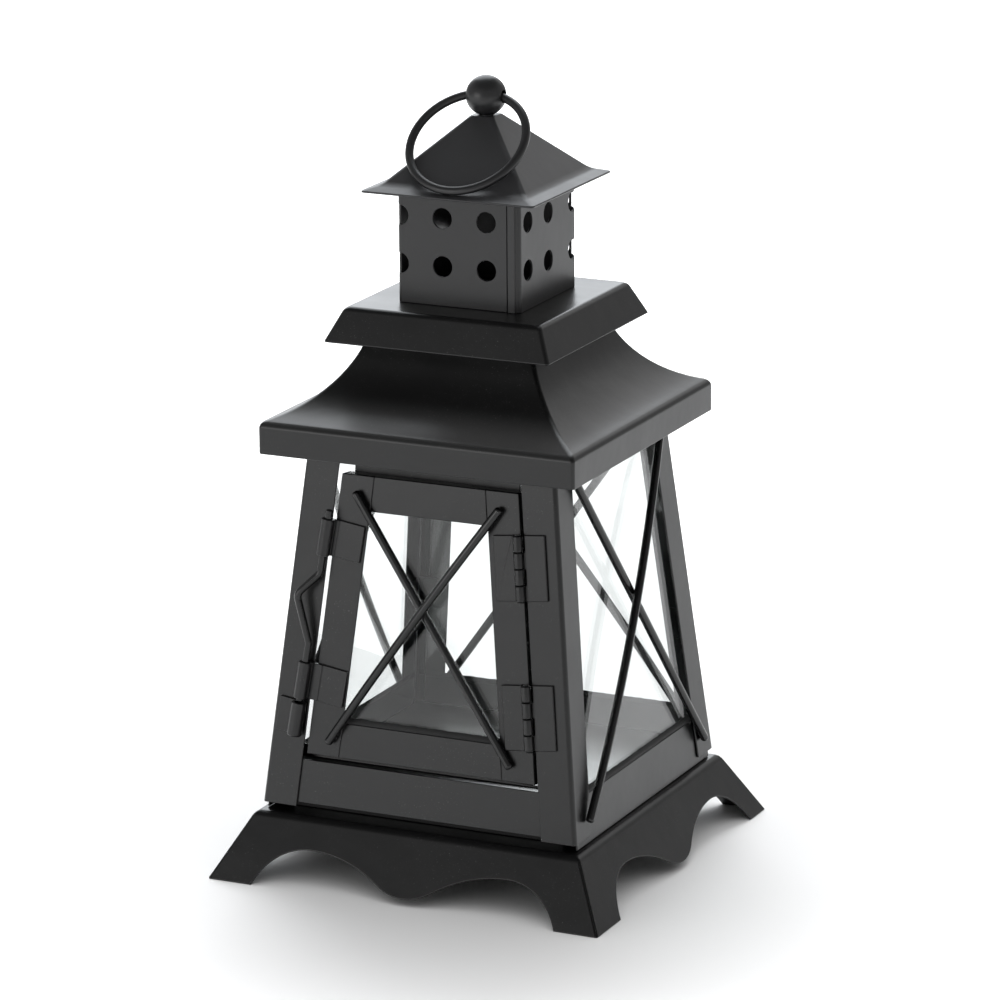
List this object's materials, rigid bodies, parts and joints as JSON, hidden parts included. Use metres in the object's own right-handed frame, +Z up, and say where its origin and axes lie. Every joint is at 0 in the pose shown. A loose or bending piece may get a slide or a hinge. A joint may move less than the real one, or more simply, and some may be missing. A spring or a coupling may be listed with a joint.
{
  "type": "candle lantern",
  "caption": "Square tapered candle lantern of black painted sheet steel with glass panes, a latched hinged door, a swept roof, a vented chimney and a hanging ring.",
  "frame": {"origin": "on the table, under the middle of the square base", "axes": "+Z up, door on the -Y face, hinges towards +X, latch towards -X"},
  "size_m": [0.1508, 0.1508, 0.2802],
  "materials": {
    "black_paint": "satin black paint with a fine grain",
    "glass": "clear float glass",
    "steel": "zinc plated"
  },
  "bodies": {
    "lantern": {"base_skirt": "black_paint", "floor_pan": "black_paint", "post_front_right": "black_paint", "post_back_right": "black_paint", "post_back_left": "black_paint", "post_front_left": "black_paint", "rail_front": "black_paint", "rail_right": "black_paint", "glass_right": "glass", "wire_right_under": "black_paint", "wire_right_over": "black_paint", "rail_back": "black_paint", "glass_back": "glass", "wire_back_under": "black_paint", "wire_back_over": "black_paint", "rail_left": "black_paint", "glass_left": "glass", "wire_left_under": "black_paint", "wire_left_over": "black_paint", "glass_clips": "black_paint", "hinge_upper_post_leaf": "black_paint", "hinge_upper_pin": "black_paint", "hinge_lower_post_leaf": "black_paint", "hinge_lower_pin": "black_paint", "latch_keeper": "black_paint", "ceiling_plate": "black_paint", "door_header": "black_paint", "roof": "black_paint", "roof_collar": "black_paint", "chimney": "black_paint", "chimney_cap": "black_paint", "finial_ball": "black_paint", "finial_screw": "steel"},
    "door": {"door_stile_hinge": "black_paint", "door_stile_latch": "black_paint", "door_rail_top": "black_paint", "door_rail_bottom": "black_paint", "door_glass": "glass", "door_glass_clips": "black_paint", "door_wire_under": "black_paint", "door_wire_over": "black_paint", "hinge_upper_door_leaf": "black_paint", "hinge_lower_door_leaf": "black_paint", "latch_guide_upper": "black_paint", "latch_guide_lower": "black_paint"},
    "bolt": {"latch_bolt": "black_paint"},
    "ring": {"hanging_ring": "black_paint"}
  },
  "joints": [
    {"name": "door_swing", "type": "hinge", "parent": "lantern", "child": "door", "pos_m": [0.03864, -0.05523, 0.09606], "axis": [-0.1017, 0.1017, 0.9896], "range_deg": [0, 150]},
    {"name": "bolt_slide", "type": "slide", "parent": "door", "child": "bolt", "axis": [0.1365, 0.1013, 0.9854], "range_m": [-0.005, 0.005]},
    {"name": "ring_swing", "type": "hinge", "parent": "lantern", "child": "ring", "pos_m": [0, 0, 0.2731], "axis": [-1, 0, 0], "range_deg": [0, 264.09]}
  ]
}
